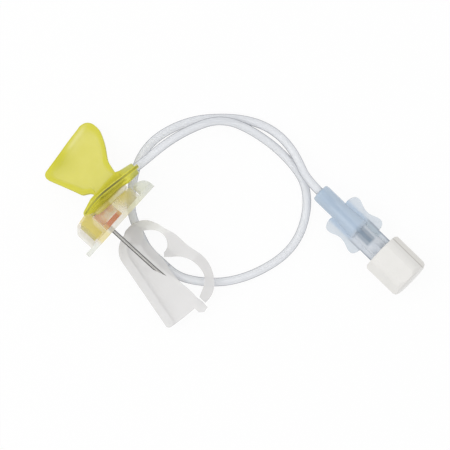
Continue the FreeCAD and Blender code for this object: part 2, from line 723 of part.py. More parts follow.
def make_cap():
    shell = new_body("shell")
    end = "Dims.cap_start + Dims.cap_length"
    room = "Dims.luer_rib_reach + 0.3"
    throat = "Dims.cap_start + Dims.cap_length - Dims.cap_floor"
    plug_tip = f"{throat} - Dims.cap_plug_length"
    revolve(shell, [
        ("Dims.cap_start", room), ("Dims.cap_start", "Dims.cap_radius - 0.5"),
        ("Dims.cap_start + 0.5", "Dims.cap_radius"),
        (f"{end} - Dims.cap_rounding", "Dims.cap_radius"),
        (f"{end} - 0.3 * Dims.cap_rounding", "Dims.cap_radius - 0.3 * Dims.cap_rounding"),
        (end, "Dims.cap_radius - Dims.cap_rounding"), (end, 0),
        (plug_tip, 0), (plug_tip, "Dims.luer_taper_throat - Dims.cap_plug_clearance"),
        (throat, "Dims.luer_taper_mouth - Dims.cap_plug_clearance"), (throat, room),
    ])
    prism = bind(
        doc.addObject("Part::Prism", "cap_prism"),
        Circumradius="Dims.cap_flats / sqrt(3)", Height="Dims.cap_length + 2",
    )
    prism.Polygon = 6
    place(prism, "Dims.cap_start - 1", "0", "0", Rotation(Vector(1, 0, 0), 30) * along_x)
    return luer_place(common("cap_cut", [shell, prism]), "luer_cap")


# Line: points chosen by hand along its middle, measured from the needle's exit, with table heights.
hub_to_bend = [
    (-7.94, 13.77, 12.3), (-6.84, 19.67, 12.3), (-5.8, 25.5, 11.8), (-4.6, 31.0, 9.9), (-3.7, 33.9, 8.5),
]
bend_to_clamp = [
    (-3.7, 33.9, 8.5), (-2.8, 36.8, 7.1), (-0.3, 41.5, 5.0), (3.3, 44.6, 4.0), (7.4, 46.2, 2.9),
    (11.8, 47.2, 1.7), (17.6, 47.9, 1.2), (24.2, 47.6, 1.2), (29.6, 46.4, 1.2), (33.6, 43.7, 1.2),
    (36.9, 39.6, 1.2), (39.4, 34.2, 1.2), (40.1, 28.6, 1.2), (39.1, 22.9, 1.2), (36.8, 16.8, 1.5),
    (33.7, 11.7, 2.4), (30.2, 8.0, 2.9), (25.8, 4.7, 2.9), (21.3, 2.6, 2.9), (17.9, 2.6, 2.9),
]
pinch_stretch = [(17.9, 2.6, 2.9), (13.7, 2.6, 2.9)]
clamp_to_luer = [
    (13.7, 2.6, 2.9), (10.7, 2.6, 2.9), (6.8, 4.1, 2.9), (2.6, 5.8, 2.75), (-0.6, 7.9, 1.75),
    (-3.3, 11.0, 1.3), (-5.8, 14.6, 1.2), (-8.0, 19.0, 1.2), (-9.2, 23.6, 1.2), (-8.8, 28.4, 1.2),
    (-6.9, 33.9, 1.2), (-3.6, 39.0, 1.2), (0.7, 43.5, 1.2), (5.2, 47.2, 1.2), (10.2, 49.9, 1.2),
    (15.6, 51.1, 1.4), (20.8, 50.7, 2.3), (25.4, 49.3, 3.4), (30.0, 47.2, 3.75), (35.4, 47.0, 4.13),
]


def from_exit(points):
    return [(size("exit_x") + x, size("exit_y") + y, z) for x, y, z in points]


def make_line():
    return [
        tube("tube_from_hub", from_exit(hub_to_bend)),
        tube("tube_to_clamp", from_exit(bend_to_clamp)),
        tube("tube_pinch", from_exit(pinch_stretch)),
        tube("tube_to_luer", from_exit(clamp_to_luer)),
    ]


nodes = [
    make_hub(),
    *make_wings(),
    make_needle(),
    make_base_plate(),
    make_housing(),
    *make_clip(),
    *make_line(),
    make_clamp_body(),
    make_clamp_arm(),
    make_connector(),
    make_cap(),
]
doc.recompute()
for feature in doc.Objects:
    if {"Invalid", "Error"} & set(feature.State):
        raise RuntimeError(f"{feature.Label} did not build: {feature.State}")
os.makedirs("parts", exist_ok=True)
for node in nodes:
    shape = node.Shape
    if shape.isNull() or not shape.isValid() or not shape.Solids:
        raise RuntimeError(f"{node.Label} is not a valid solid")
    shape.exportStep(f"parts/{node.Label}.step")
    reach = shape.BoundBox
    corners = [reach.XMin, reach.XMax, reach.YMin, reach.YMax, reach.ZMin, reach.ZMax]
    box_text = " ".join(f"{value:.2f}" for value in corners)
    print(f"{node.Label}: {len(shape.Solids)} solid, {shape.Volume:.1f} mm3, box {box_text}")
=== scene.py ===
import math

import bmesh
import bpy
import numpy as np
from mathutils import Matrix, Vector


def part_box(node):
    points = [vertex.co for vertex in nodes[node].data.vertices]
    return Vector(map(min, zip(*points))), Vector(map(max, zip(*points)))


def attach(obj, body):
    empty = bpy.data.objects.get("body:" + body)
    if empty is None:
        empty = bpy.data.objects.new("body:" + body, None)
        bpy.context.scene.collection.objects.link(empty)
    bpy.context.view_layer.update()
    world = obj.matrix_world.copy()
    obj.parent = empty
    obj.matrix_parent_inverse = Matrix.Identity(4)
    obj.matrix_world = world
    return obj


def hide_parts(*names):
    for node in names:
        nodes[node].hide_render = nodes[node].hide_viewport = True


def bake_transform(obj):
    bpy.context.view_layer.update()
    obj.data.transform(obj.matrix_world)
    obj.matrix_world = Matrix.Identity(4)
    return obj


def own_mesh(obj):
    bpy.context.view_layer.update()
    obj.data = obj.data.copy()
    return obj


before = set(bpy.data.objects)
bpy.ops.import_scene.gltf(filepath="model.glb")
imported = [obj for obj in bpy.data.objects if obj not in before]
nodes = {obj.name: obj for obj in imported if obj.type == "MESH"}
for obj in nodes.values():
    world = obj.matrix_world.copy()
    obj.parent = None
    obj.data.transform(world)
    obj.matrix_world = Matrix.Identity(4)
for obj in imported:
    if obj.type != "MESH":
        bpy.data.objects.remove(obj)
scene = bpy.context.scene
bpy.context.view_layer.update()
mm = 0.001
needleExit = np.array([3.6, -4.1, 0.0]) * mm  # where the needle leaves the skin plate, at table level
print("frame loaded")


# Shader building: values are wrapped so that a mask can be written as a plain formula.
class Value:
    def __init__(self, tree, socket):
        self.tree = tree
        self.socket = socket

    def math(self, operation, *others):
        sockets = dict(enumerate((self, *others)))
        return addNode(self.tree, "ShaderNodeMath", 0, {"operation": operation}, sockets)

    def __add__(self, other):
        return self.math("ADD", other)

    __radd__ = __add__

    def __sub__(self, other):
        return self.math("SUBTRACT", other)

    def __rsub__(self, other):
        return (self * -1) + other

    def __mul__(self, other):
        return self.math("MULTIPLY", other)

    __rmul__ = __mul__

    # 0 below low, 1 above high and a smooth step in between
    def between(self, low, high):
        sockets = {"Value": self, "From Min": low, "From Max": high}
        return addNode(self.tree, "ShaderNodeMapRange", 0, {"interpolation_type": "SMOOTHSTEP"}, sockets)

    # 1 from the end of a rise to the start of a fall, each given as two places
    def band(self, rise, fall):
        return self.between(*rise) * (1 - self.between(*fall))


def connect(tree, socket, item):
    if isinstance(item, Value):
        tree.links.new(item.socket, socket)
    elif isinstance(item, tuple) and len(item) == 3 and socket.type == "RGBA":
        socket.default_value = (*item, 1)
    else:
        socket.default_value = item


# Adds one node and gives one of its outputs. Its settings are set first, and then the values or links of its
# sockets, each by its name or its number.
def addNode(tree, kind, output, settings, sockets):
    node = tree.nodes.new(kind)
    for key, value in settings.items():
        setattr(node, key, value)
    for key, value in sockets.items():
        connect(tree, node.inputs[key], value)
    return Value(tree, node.outputs[output])


# One material, whose nodes are added by short calls.
class Finish:
    def __init__(self, name):
        self.material = bpy.data.materials.new(name)
        self.material.use_nodes = True
        self.tree = self.material.node_tree
        self.shader = self.tree.nodes["Principled BSDF"]

    def node(self, kind, output=0, settings=None, **inputs):
        sockets = {key.replace("_", " "): value for key, value in inputs.items()}
        return addNode(self.tree, kind, output, settings or {}, sockets)

    def place(self):
        return self.node("ShaderNodeTexCoord", "Object")

    # one coordinate in millimetres
    def axis(self, name):
        return self.node("ShaderNodeSeparateXYZ", name, Vector=self.place()) * (1 / mm)

    def noise(self, scale, detail):
        return self.node("ShaderNodeTexNoise", "Fac", Vector=self.place(), Scale=scale, Detail=detail)

    def attribute(self, name):
        return self.node("ShaderNodeAttribute", "Fac", {"attribute_name": name})

    # low where share is 0 and high where it is 1; the node's colours are its inputs 6 and 7 and its output 2
    def mix(self, low, high, share):
        sockets = {"Factor": share, 6: low, 7: high}
        return addNode(self.tree, "ShaderNodeMix", 2, {"data_type": "RGBA"}, sockets)

    # a fine relief, with its depth in millimetres
    def grain(self, scale, detail, strength, depth):
        height = self.noise(scale, detail)
        return self.node("ShaderNodeBump", "Normal", Height=height, Strength=strength, Distance=depth * mm)

    def set(self, **inputs):
        for key, value in inputs.items():
            connect(self.tree, self.shader.inputs[key.replace("_", " ")], value)
        return self.material


# A colour given in sRGB bytes, as linear light.
def shade(r, g, b):
    channels = np.array([r, g, b]) / 255
    linear = np.where(channels < 0.04045, channels / 12.92, ((channels + 0.055) / 1.055) ** 2.4)
    return tuple(float(c) for c in linear)


# Soft yellow plastic. The rim is looked through lengthwise, so it holds the deepest colour.
def wingFinish(name, rootColour, tipColour):
    look = Finish(name)
    cloud = look.noise(scale=260, detail=4)
    border = look.attribute("border")  # 1 on the thicker border, 0 on the thin panel
    rim = look.attribute("rim")  # 1 on the side wall
    above = look.attribute("above")  # 1 straight over the root, where the whole wing is looked through
    streak = look.attribute("streak")  # a painted highlight: a paler line inside the outer edge
    deepSpot = look.attribute("deepSpot")  # a round spot of deeper yellow near the outer end of the low side
    panel = look.mix(shade(236, 230, 100), shade(226, 220, 78), cloud)
    face = look.mix(panel, shade(223, 218, 56), border)
    # the streak's paler yellow is a painted highlight
    pale = look.mix(face, shade(244, 239, 158), streak * 0.75)
    deep = look.mix(pale, shade(212, 208, 14), deepSpot * 0.9)
    rimColour = look.mix(shade(*tipColour), shade(*rootColour), above)
    return look.set(
        Base_Color=look.mix(deep, rimColour, rim), Roughness=0.34 + 0.12 * cloud,
        Alpha=0.74 + 0.1 * border + 0.16 * rim, Coat_Weight=0.15,
        Normal=look.grain(scale=5200, detail=2, strength=0.12, depth=0.04),
    )


# Where a finish changes is written beside it as pairs of places in millimetres: its mask goes from 0 to 1
# between the two, and back again where the pair is called a fall. The hub's own line crosses x = 0 at middle
# and leans sideways by lean for each millimetre.
hubLook = {
    "middle": 4.05, "lean": 0.176, "needleSide": (-5.8, -4.8), "pastLeg": (-1, 3), "socketEnd": (8, 12.5),
}


# The hub is brighter on its needle side, painted light that lifts the upper wing's shadow there,
# and greyer towards the socket, where the line shows through it.
def hubFinish():
    look = Finish("hubYellow")
    cloud = look.noise(scale=330, detail=3)
    y = look.axis("Y")
    offLine = look.axis("X") - hubLook["lean"] * (y - hubLook["middle"])  # sideways from the hub's own line
    needleSide = offLine.between(*hubLook["needleSide"]) * y.between(*hubLook["pastLeg"])
    colour = look.mix(shade(214, 208, 48), shade(206, 200, 30), cloud)
    # painted light on the needle side, where the upper wing's shadow falls
    paintedLight = look.mix(colour, shade(255, 250, 92), needleSide)
    return look.set(
        Base_Color=look.mix(paintedLight, shade(202, 202, 104), y.between(*hubLook["socketEnd"])),
        Roughness=0.36, Alpha=0.94, Coat_Weight=0.2,
        Normal=look.grain(scale=4200, detail=2, strength=0.1, depth=0.04),
    )


# Steel with fine streaks along the cannula, and darker where its round side turns away: painted shade,
# a painted reflection of darker surroundings along its edges.
def steelFinish():
    look = Finish("cannulaSteel")
    streak = look.node("ShaderNodeTexNoise", "Fac", Vector=look.node(
        "ShaderNodeMapping", "Vector", Vector=look.place(), Scale=(300, 9000, 9000)
    ), Scale=1.0, Detail=2.0)
    # painted reflection: the edges darken where the round side turns away
    paintedDarkEdge = look.node("ShaderNodeLayerWeight", "Facing", Blend=0.5)
    middle = look.mix((0.35, 0.345, 0.33), (0.47, 0.465, 0.45), streak)
    return look.set(
        Base_Color=look.mix(middle, (0.12, 0.12, 0.115), paintedDarkEdge.between(0.04, 0.36)), Metallic=1.0,
        Roughness=0.16 + 0.12 * streak,
    )


# Places along the base; the two ends are counted from the housing's own ends.
baseLook = {
    "lowEnd": (1.2, 3.0), "highEnd": (-6.5, -3.0), "legRise": (-9.6, -8.2), "legFall": (-5.8, -4.4),
    "bossRise": (0.4, 1.4), "bossFall": (5, 10.5), "bossSide": (-1.8, 2.6),
}


# Frosted plastic. It is denser by lowEnd and highEnd towards its two ends, where more of it stands behind
# itself. The yellow of the hub's leg and of its boss behind the clip shines through it as strongly as tint.
def frostedFinish(name, colours, endColour, alpha, lowEnd, highEnd, tint):
    look = Finish(name)
    cloud = look.noise(scale=210, detail=4)
    x, y = look.axis("X"), look.axis("Y")
    low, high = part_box("safety_housing")
    atLowEnd = 1 - (y - low[1] / mm).between(*baseLook["lowEnd"])
    atHighEnd = (y - high[1] / mm).between(*baseLook["highEnd"])
    byLeg = y.band(baseLook["legRise"], baseLook["legFall"])
    farSide = x.between(*baseLook["bossSide"])
    byBoss = y.band(baseLook["bossRise"], baseLook["bossFall"]) * (1 - 0.7 * farSide)
    plain = look.mix(shade(*colours[0]), shade(*colours[1]), cloud)
    ends = look.mix(plain, shade(*endColour), atHighEnd.math("MAXIMUM", atLowEnd))
    leg = look.mix(ends, shade(244, 228, 146), byLeg * tint)
    return look.set(
        Base_Color=look.mix(leg, shade(240, 224, 92), byBoss * tint), Roughness=0.5 + 0.1 * cloud,
        Alpha=alpha + lowEnd * atLowEnd + highEnd * atHighEnd + 0.26 * tint * byLeg + 0.12 * tint * byBoss,
        Normal=look.grain(scale=6500, detail=3, strength=0.2, depth=0.05),
    )


gateLook = {"strongRise": (-4.4, -3.6), "strongFall": (-0.2, 0.8)}


# The gate is a strong orange where it shuts over the needle and paler at both ends.
def orangeFinish():
    look = Finish("gateOrange")
    strong = look.axis("Y").band(gateLook["strongRise"], gateLook["strongFall"])
    colour = look.mix(shade(218, 96, 6), shade(210, 106, 20), look.noise(scale=700, detail=3))
    return look.set(
        Base_Color=look.mix(shade(240, 190, 132), colour, strong), Roughness=0.35,
        Normal=look.grain(scale=3000, detail=2, strength=0.1, depth=0.04),
    )


# Places counted from the capsule's own two sides.
capsuleLook = {"hubSide": (0.3, 2.0), "lowEnd": (0.4, 2.6)}


# The capsule is pale where it is looked straight through, and redder towards its hub side and its low end.
def pinkFinish():
    look = Finish("capsulePink")
    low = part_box("safety_capsule")[0]
    hubSide = 1 - (look.axis("X") - low[0] / mm).between(*capsuleLook["hubSide"])
    lowEnd = 1 - (look.axis("Y") - low[1] / mm).between(*capsuleLook["lowEnd"])
    cloud = look.noise(scale=520, detail=2).between(0.4, 0.6)
    pale = look.mix(shade(255, 246, 230), shade(255, 214, 168), cloud)
    red = hubSide.math("MAXIMUM", lowEnd) * 0.66
    return look.set(Base_Color=look.mix(pale, shade(246, 150, 92), red), Roughness=0.4, Alpha=0.7)


# Clear tubing: nearly white where it is looked through square on, with a thin grey line of painted shade
# along its outer edges and a fainter one along its bore.
def lineFinish():
    look = Finish("clearLine")
    haze = look.noise(scale=120, detail=3)
    # painted shade where the round tube turns away from view
    edge = look.node("ShaderNodeLayerWeight", "Facing", Blend=0.5).between(0.3, 0.72)
    bore = look.attribute("bore")
    wall = look.mix(shade(246, 248, 252), shade(238, 241, 246), haze)
    return look.set(
        Base_Color=look.mix(wall, shade(150, 153, 162), edge), Roughness=0.16 + 0.1 * haze,
        Alpha=(0.62 + 0.3 * edge) * (1 - bore) + bore * (0.02 + 0.2 * edge), Coat_Weight=0.2,
    )


clampLook = {"knuckleRise": (-1, 4), "knuckleFall": (12, 16.5)}


# Milky plastic, paler at the bend, where the thick knuckle scatters more light: painted light that
# lifts the shade of its stacked layers.
def clampFinish():
    look = Finish("clampMilky")
    cloud = look.noise(scale=170, detail=4)
    pastBend = look.axis("X").between(*clampLook["knuckleFall"])
    # painted light on the knuckle
    knuckle = look.axis("Y").between(*clampLook["knuckleRise"]) * (1 - pastBend)
    plain = look.mix(shade(238, 237, 237), shade(229, 228, 228), cloud)
    return look.set(
        Base_Color=look.mix(plain, shade(252, 252, 249), knuckle), Roughness=0.42 + 0.1 * cloud,
        Alpha=0.56 - 0.1 * knuckle,
        Normal=look.grain(scale=3800, detail=3, strength=0.12, depth=0.05),
    )


# The fitting lies along its bore from start, turned and tilted by degrees. Places along the bore come first,
# then those across it.
fitting = {
    "start": (39.0, 42.9, 4.13), "turn": -1.9, "tilt": 4.0,
    "socket": (0.5, 4.0), "neck": (14.0, 16.6), "paintedGlint": (19.9, 21.1),
    "core": (1.2, 1.9), "shadedSide": (1.6, 2.4), "tab": (3.3, 4.5), "ribEdge": (3.32, 3.72),
    "onTab": (3.87, 4.17), "grooveShadeRise": (4.65, 4.9), "grooveShadeFall": (4.9, 5.15), "shadedFacet": (4.9, 5.1),
}


# How far along the bore and how far sideways of it a place is, in millimetres.
def onFitting(look):
    x, y, z = (look.axis(name) - start for name, start in zip("XYZ", fitting["start"]))
    turnAngle = math.radians(fitting["turn"])
    along = x * math.cos(turnAngle) + y * math.sin(turnAngle) + z * math.sin(math.radians(fitting["tilt"]))
    return along, y * math.cos(turnAngle) - x * math.sin(turnAngle)


# The body is a clear blue, its tabs paler, and its neck clearer still, with the darker bore along its middle
# up to a painted glint, a white band of painted highlight, before the cap.
def blueFinish():
    look = Finish("fittingBlue")
    cloud = look.noise(scale=190, detail=3)
    along, sideways = onFitting(look)
    across = sideways.math("ABSOLUTE")
    onTab = across.between(*fitting["onTab"])
    neck = along.between(*fitting["neck"]) * (1 - onTab)
    tab = across.between(*fitting["tab"])
    paintedGlint = along.between(*fitting["paintedGlint"]) * neck
    core = (1 - across.between(*fitting["core"])) * neck * (1 - paintedGlint)
    shadedSide = sideways.between(*fitting["shadedSide"]) * neck
    ribEdge = across.between(*fitting["ribEdge"]) * neck
    body = look.mix(shade(182, 202, 224), shade(194, 211, 228), cloud)
    socketEnd = look.mix(shade(194, 212, 230), body, along.between(*fitting["socket"]))
    light = look.mix(socketEnd, shade(216, 225, 234), tab)
    clearNeck = look.mix(light, shade(202, 213, 226), neck)
    shaded = look.mix(clearNeck, shade(172, 190, 204), shadedSide)
    dark = look.mix(shaded, shade(146, 163, 180), core)
    # painted highlight: a white glint on the neck before the cap
    pale = look.mix(dark, shade(232, 237, 244), paintedGlint * 0.8)
    return look.set(
        Base_Color=look.mix(pale, shade(150, 158, 170), ribEdge * 0.8), Roughness=0.2,
        Alpha=(
            0.7 - 0.26 * neck - 0.2 * tab + 0.16 * core
            + 0.12 * shadedSide + 0.2 * paintedGlint + 0.16 * ribEdge
        ),
        Coat_Weight=0.25, Normal=look.grain(scale=2600, detail=2, strength=0.06, depth=0.05),
    )


# Milky white plastic with a thin dark line of painted shade along one side, where a groove runs, and a strip
# of painted shade beyond it, on a facet turned from the light.
def capFinish():
    look = Finish("capWhite")
    cloud = look.noise(scale=230, detail=3)
    sideways = onFitting(look)[1]
    # painted shade: a thin dark line where a groove runs
    grooveShade = sideways.band(fitting["grooveShadeRise"], fitting["grooveShadeFall"])
    # painted shade on the facet turned from the light
    shadedFacet = sideways.between(*fitting["shadedFacet"])
    face = look.mix(shade(240, 238, 235), shade(230, 229, 225), cloud)
    paintedFacetShade = look.mix(face, shade(229, 227, 222), shadedFacet)
    return look.set(
        Base_Color=look.mix(paintedFacetShade, shade(186, 181, 175), grooveShade * 0.8), Roughness=0.34 + 0.1 * cloud,
        Coat_Weight=0.15, Normal=look.grain(scale=3000, detail=3, strength=0.1, depth=0.04),
    )


finishes = {
    "wing_hub": hubFinish(),
    "needle": steelFinish(),
    "safety_gate": orangeFinish(),
    "safety_capsule": pinkFinish(),
    "base_plate": frostedFinish(
        "frostedPlate", [(242, 238, 228), (236, 231, 218)], (240, 243, 233),
        alpha=0.42, lowEnd=0.0, highEnd=0.12, tint=0.8,
    ),
    "safety_housing": frostedFinish(
        "frostedHousing", [(244, 238, 226), (244, 228, 208)], (240, 237, 229),
        alpha=0.13, lowEnd=0.28, highEnd=0.2, tint=0.95,
    ),
    "clamp_body": clampFinish(),
    "luer_connector": blueFinish(),
    "luer_cap": capFinish(),
}
finishes["clamp_arm"] = finishes["clamp_body"]
clear = lineFinish()
for name, finish in finishes.items():
    nodes[name].data.materials.clear()
    nodes[name].data.materials.append(finish)
print("finishes made")


# A grid of points (rows, columns, 3) becomes a mesh of quads; it may close on itself either way.
def gridMesh(name, points, finish, closeRows=False, closeColumns=True):
    rows, columns = points.shape[:2]
    r = np.arange(rows if closeRows else rows - 1)[:, None]
    c = np.arange(columns if closeColumns else columns - 1)[None, :]
    nextRow = (r + 1) % rows
    nextColumn = (c + 1) % columns
    quads = np.stack([
        r * columns + c, r * columns + nextColumn, nextRow * columns + nextColumn, nextRow * columns + c,
    ], axis=-1).reshape(-1, 4)
    mesh = bpy.data.meshes.new(name)
    mesh.from_pydata(points.reshape(-1, 3), [], quads)
    mesh.polygons.foreach_set("use_smooth", np.ones(len(quads), bool))
    mesh.materials.append(finish)
    mesh.validate()
    piece = bpy.data.objects.new(name, mesh)
    scene.collection.objects.link(piece)
    return piece


# The stretch from each point to the one after it, in even steps: a cubic through both, whose slope at each
# is half the way between that point's two neighbours.
def cubicStretches(before, here, after, later, steps):
    share = np.linspace(0, 1, steps, endpoint=False)[:, None]
    before, here, after, later = (points[:, None, :] for points in (before, here, after, later))
    curve = 0.5 * (
        2 * here + (after - before) * share + (2 * before - 5 * here + 4 * after - later) * share**2
        + (3 * here - before - 3 * after + later) * share**3
    )
    return curve.reshape(-1, 2)


# A closed smooth outline through given points.
def closedOutline(points, steps):
    return cubicStretches(*(np.roll(np.array(points), shift, axis=0) for shift in (1, 0, -1, -2)), steps)


# An open smooth curve through given points, whose ends go straight on.
def smoothCurve(points, steps):
    points = np.array(points)
    padded = np.concatenate([[2 * points[0] - points[1]], points, [2 * points[-1] - points[-2]]])
    stretches = len(points) - 1
    return np.concatenate([cubicStretches(*(padded[i:i + stretches] for i in range(4)), steps), points[-1:]])


# Steps from an outline towards the heart of its shape, which can't fold it over at a tight corner.
def inward(outline, distance, heart):
    ray = outline - heart
    return outline - ray / np.linalg.norm(ray, axis=1, keepdims=True) * distance


# Puts local points (U, V, W) in millimetres into the set's own frame, from an origin and two axes.
def placed(points, origin, axisU, axisV):
    axisW = np.cross(axisU, axisV)
    return np.array(origin) * mm + (points * mm) @ np.array([axisU, axisV, axisW])


def addMask(piece, name, values):
    mask = piece.data.attributes.new(name, "FLOAT", "POINT")
    mask.data.foreach_set("value", values.astype(np.float32).ravel())


# Closes the small hole at the first and the last ring of a grid mesh, and turns all faces outward.
def closeMiddles(piece, count):
    shape = bmesh.new()
    shape.from_mesh(piece.data)
    shape.verts.ensure_lookup_table()
    total = len(shape.verts)
    for ring in (range(count), range(total - count, total)):
        shape.faces.new([shape.verts[i] for i in ring]).smooth = True
    bmesh.ops.recalc_face_normals(shape, faces=shape.faces)
    shape.to_mesh(piece.data)
    shape.free()


# Wings: a thick border with a rounded rim around a thinner panel. Rings run from the heart of one face
# outward, over the rim and back to the heart of the other face.
wings = {
    "outline": [
        (-0.3, -4.35), (0.7, -4.35), (1.7, -4.4), (2.6, -4.75), (3.4, -5.6), (4.1, -6.45), (5.1, -6.9),
        (6.6, -7.3), (10.4, -8.4), (14.4, -9.6), (16.0, -9.95), (17.1, -9.7), (17.75, -8.9), (17.95, -7.6),
        (18.6, -2.4), (19.2, 2.2), (19.5, 5.7), (19.65, 7.4), (19.0, 9.0), (17.6, 9.95), (15.6, 10.2),
        (13.4, 9.8), (9.8, 8.06), (5.9, 5.5), (3.9, 4.84), (1.7, 4.36), (0.7, 4.35), (-0.3, 4.35),
        (-0.3, 1.5), (-0.3, -1.5),
    ],
    "outlineSteps": 6,
    "cornerSteps": 6,
    "thickness": 1.1,
    "panelDepth": 0.2,
    "borderWidth": 1.0,
    "rimRadius": 0.32,
    "heart": (8.0, 0.0),  # every point of the outline can be seen from here
    "panelShares": [0.03, 0.3, 0.6, 0.84, 0.88, 0.92, 0.96],
    "stepShares": (0.84, 0.96),
    "streak": {"lean": 0.13, "place": 17.3, "width": 0.7, "middle": 4.0, "reach": 4.2},
    "deepSpot": {"place": (16.6, -4.0), "radius": 3.4},
    "rootReach": 4.6,
    "curlStart": 1.0,
    "curlRun": 9.0,
    "stiffRoot": 6.0,
    "lower": {
        "origin": (-5.8, 4.05, 10.1), "slope": 29.1, "curl": 0.0, "rim": [(206, 200, 40), (206, 200, 40)],
    },
    "upper": {
        "origin": (-5.4, 4.05, 14.5), "turn": 10.0, "curl": 1.8, "rim": [(104, 99, 0), (166, 161, 36)],
    },
}


# Rings of one face: from near the heart outward by shares of the way to the border's inner edge, up a smooth
# step to the border, and by a quarter circle over the rim down to the side wall.
def wingRings(outline):
    half = wings["thickness"] / 2
    radius = wings["rimRadius"]
    heart = np.array(wings["heart"])
    inner = inward(outline, wings["borderWidth"], heart)
    shares = np.array(wings["panelShares"])
    panel = heart + shares[:, None, None] * (inner - heart)
    corner = np.linspace(0, np.pi / 2, wings["cornerSteps"])
    inset = radius * (1 - np.sin(corner))
    rim = np.stack([inner, *(inward(outline, step, heart) for step in inset)])
    stepStart, stepEnd = wings["stepShares"]
    step = np.clip((shares - stepStart) / (stepEnd - stepStart), 0, 1)
    panelHeight = half - wings["panelDepth"] * (1 - step**2 * (3 - 2 * step))
    height = np.concatenate([panelHeight, [half], half - radius * (1 - np.cos(corner))])
    rings = np.concatenate([panel, rim])
    border = np.concatenate([step, np.ones(len(rim))])
    wall = np.zeros(len(rings))
    wall[-1] = 1
    return np.dstack([rings, np.broadcast_to(height[:, None], rings.shape[:2])]), border, wall


# One wing: the rings of a face and the same rings mirrored to the other face, then curled and placed.
def makeWing(name, wing, axisU, axisV, body, node):
    outline = closedOutline(wings["outline"], wings["outlineSteps"])
    top, border, wall = wingRings(outline)
    local = np.concatenate([top, top[::-1] * [1, 1, -1]])
    u, v = local[..., 0], local[..., 1]
    # the low side curls sideways by the square of its way past the middle, and the root stays straight
    way = np.maximum(-v - wings["curlStart"], 0) / wings["curlRun"]
    local[..., 2] -= wing["curl"] * way**2 * np.clip(u / wings["stiffRoot"], 0, 1)
    finish = wingFinish(name + "Yellow", *wing["rim"])
    piece = gridMesh(name, placed(local, wing["origin"], axisU, axisV), finish)
    count = len(outline)
    # the streak, a painted highlight, is a narrow bell across a line inside the leaning outer edge, times a
    # broad one along it
    streak, deepSpot = wings["streak"], wings["deepSpot"]
    across = (u - streak["lean"] * v - streak["place"]) / streak["width"]
    along = (v - streak["middle"]) / streak["reach"]
    # the deep spot is a round bell about its place
    fromDeepSpot = ((u - deepSpot["place"][0]) ** 2 + (v - deepSpot["place"][1]) ** 2) / deepSpot["radius"] ** 2
    for mask, values in (("border", border), ("rim", wall)):
        addMask(piece, mask, np.repeat(np.concatenate([values, values[::-1]]), count))
    addMask(piece, "streak", np.exp(-across**2) * np.exp(-along**4))
    addMask(piece, "deepSpot", np.exp(-fromDeepSpot))
    addMask(piece, "above", np.exp(-(v / wings["rootReach"]) ** 4))
    closeMiddles(piece, count)
    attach(piece, body)
    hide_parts(node)


slope = math.radians(wings["lower"]["slope"])
turn = math.radians(wings["upper"]["turn"])
outAndDown = (-math.cos(slope), 0, -math.sin(slope))
makeWing("lowerWing", wings["lower"], outAndDown, (0, 1, 0), "lower_wing", "wing_lower")
alongHub = (math.sin(turn), math.cos(turn), 0)
makeWing("upperWing", wings["upper"], (0, 0, 1), alongHub, "upper_wing", "wing_upper")
print("wings made")


# The housing's upper lip reaches over the hub's edge. Its outline is an oblong with round corners: the two
# coordinates of a circle, each raised to a power below one. Its rings are that outline, shrunk by the same
# distance in width and in length: a slit in the top face, a rounded edge, the wall, and the same below.
lip = {
    "middle": (-2.75, 1.9), "halfWidth": 0.85, "halfLength": 5.8, "lean": 0.085, "low": 14.75, "high": 17.2,
    "rounding": 0.5, "power": 0.5, "slit": 0.05, "around": 64, "cornerSteps": 6, "cleared": (2, 8),
}


# The lip over the hub takes the hub's yellow at its low end and clears towards its high end.
def lipFinish():
    look = Finish("frostedLip")
    cleared = look.axis("Y").between(*lip["cleared"])
    return look.set(
        Base_Color=look.mix(shade(228, 218, 112), shade(240, 233, 212), cleared),
        Roughness=0.55, Alpha=0.58 - 0.1 * cleared,
        Normal=look.grain(scale=6500, detail=3, strength=0.2, depth=0.05),
    )


def makeLip():
    around = np.linspace(0, 2 * np.pi, lip["around"], endpoint=False)
    corner = np.linspace(0, np.pi / 2, lip["cornerSteps"])
    r = lip["rounding"]
    inset = np.concatenate([[lip["halfWidth"] - lip["slit"]], r * (1 - np.sin(corner))])
    drop = np.concatenate([[0.0], r * (1 - np.cos(corner))])
    inset = np.concatenate([inset, inset[::-1]])[:, None]
    height = np.concatenate([lip["high"] - drop, lip["low"] + drop[::-1]])[:, None]
    wide = np.sign(np.cos(around)) * np.abs(np.cos(around)) ** lip["power"]
    long = np.sign(np.sin(around)) * np.abs(np.sin(around)) ** lip["power"]
    y = (lip["halfLength"] - inset) * long
    x = (lip["halfWidth"] - inset) * wide + lip["lean"] * y
    points = np.dstack([x + lip["middle"][0], y + lip["middle"][1], np.broadcast_to(height, x.shape)]) * mm
    piece = gridMesh("housingLip", points, lipFinish())
    closeMiddles(piece, len(around))
    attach(piece, "base")


makeLip()
print("lip made")


